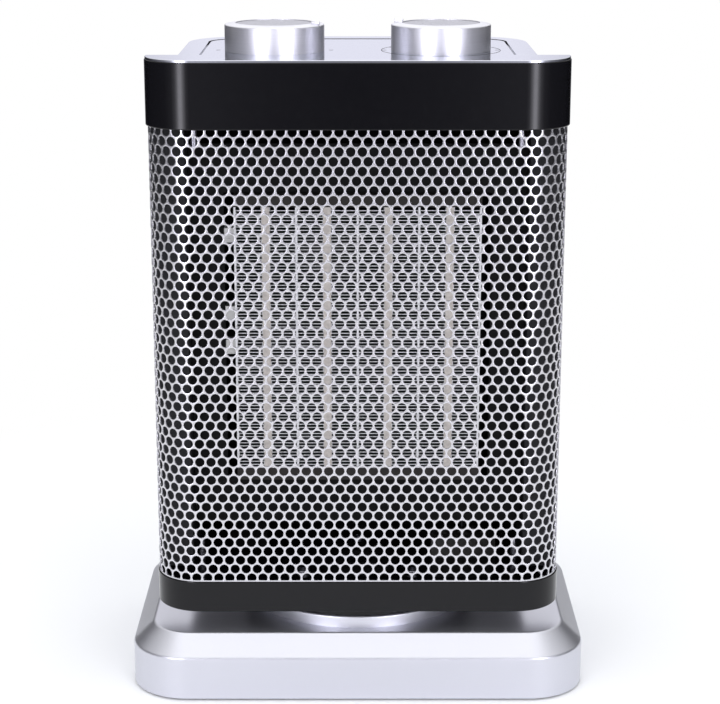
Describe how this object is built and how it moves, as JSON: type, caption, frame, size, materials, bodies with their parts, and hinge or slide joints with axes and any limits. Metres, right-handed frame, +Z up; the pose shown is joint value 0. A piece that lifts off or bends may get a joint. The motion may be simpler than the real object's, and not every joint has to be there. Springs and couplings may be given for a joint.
{
  "type": "fan heater",
  "caption": "Upright oscillating ceramic fan heater: perforated wrap grille over a finned heating core, rotary knobs on a silver top plate, body swinging on a flat bevelled base.",
  "frame": {"origin": "point on the floor under the swivel axis, which is the middle of the base", "axes": "+Z up, the grille and outlet face -Y, the rear intake and cord entry face +Y, +X to the viewer's right seen from the front"},
  "size_m": [0.187, 0.124, 0.2718],
  "materials": {
    "base_silver": "satin silver paint",
    "plate_silver": "bright silver, lightly polished",
    "knob_silver": "metallised silver",
    "grille_silver": "satin silver",
    "trim_black": "high gloss",
    "shell_black": "fine grain",
    "inner_black": "matt",
    "plate_steel": "matt powder coat",
    "bright_steel": "zinc plated",
    "core_iron": "laminated sheet",
    "foot_rubber": "matt",
    "bearing_white": "smooth",
    "ceramic_beige": "matt",
    "fin_aluminium": "bare",
    "rail_brown": "matt",
    "tab_tinned": "tinned",
    "coil_copper": "varnished copper",
    "brass_bright": "turned"
  },
  "bodies": {
    "base": {"base_housing": "base_silver", "base_plate": "plate_steel", "rubber_feet": "foot_rubber", "base_screws": "bright_steel", "swivel_disc": "base_silver", "glide_ring": "bearing_white", "pivot_bush": "bearing_white", "swing_motor": "bright_steel", "swing_motor_screws": "bright_steel"},
    "crank": {"crank": "bright_steel"},
    "fan": {"fan_impeller": "inner_black", "motor_rotor": "core_iron"},
    "power_knob": {"power_knob": "knob_silver", "power_knob_shaft": "brass_bright"},
    "thermostat_knob": {"thermostat_knob": "knob_silver", "thermostat_knob_shaft": "brass_bright"},
    "heater": {"slotted_arm": "bright_steel", "pivot_tube": "inner_black", "swivel_collar": "trim_black", "collar_screws": "bright_steel", "bottom_tray": "trim_black", "tray_screws": "bright_steel", "rear_housing": "shell_black", "front_grille": "grille_silver", "top_cap": "trim_black", "cap_screws": "bright_steel", "control_panel": "plate_silver", "top_surround": "plate_silver", "panel_nuts": "bright_steel", "power_switch": "inner_black", "thermostat": "ceramic_beige", "ptc_ceramic_strips": "ceramic_beige", "ptc_fins": "fin_aluminium", "ptc_plates": "fin_aluminium", "core_end_rails": "rail_brown", "core_terminals": "tab_tinned", "core_frame": "inner_black", "fan_shroud": "inner_black", "motor_spider": "inner_black", "motor_laminations": "core_iron", "motor_coil": "coil_copper", "motor_bridges": "bright_steel", "motor_screws": "bright_steel", "thermal_cutout": "fin_aluminium", "tilt_switch": "inner_black", "terminal_block": "bearing_white", "cord_gland": "inner_black"}
  },
  "joints": [
    {"name": "body_swing", "type": "hinge", "parent": "base", "child": "heater", "pos_m": [0, 0, 0.03], "axis": [0, 0, 1], "range_deg": [-35, 35]},
    {"name": "crank_spin", "type": "hinge", "parent": "base", "child": "crank", "pos_m": [0.034, 0, 0.018], "axis": [0, 0, 1], "continuous": true},
    {"name": "fan_spin", "type": "hinge", "parent": "heater", "child": "fan", "pos_m": [0, 0.005, 0.1435], "axis": [0, 1, 0], "continuous": true},
    {"name": "power_turn", "type": "hinge", "parent": "heater", "child": "power_knob", "pos_m": [-0.0332, -0.014, 0.26], "axis": [0, 0, -1], "range_deg": [0, 270]},
    {"name": "thermostat_turn", "type": "hinge", "parent": "heater", "child": "thermostat_knob", "pos_m": [0.0332, -0.014, 0.26], "axis": [0, 0, -1], "range_deg": [0, 300]}
  ]
}
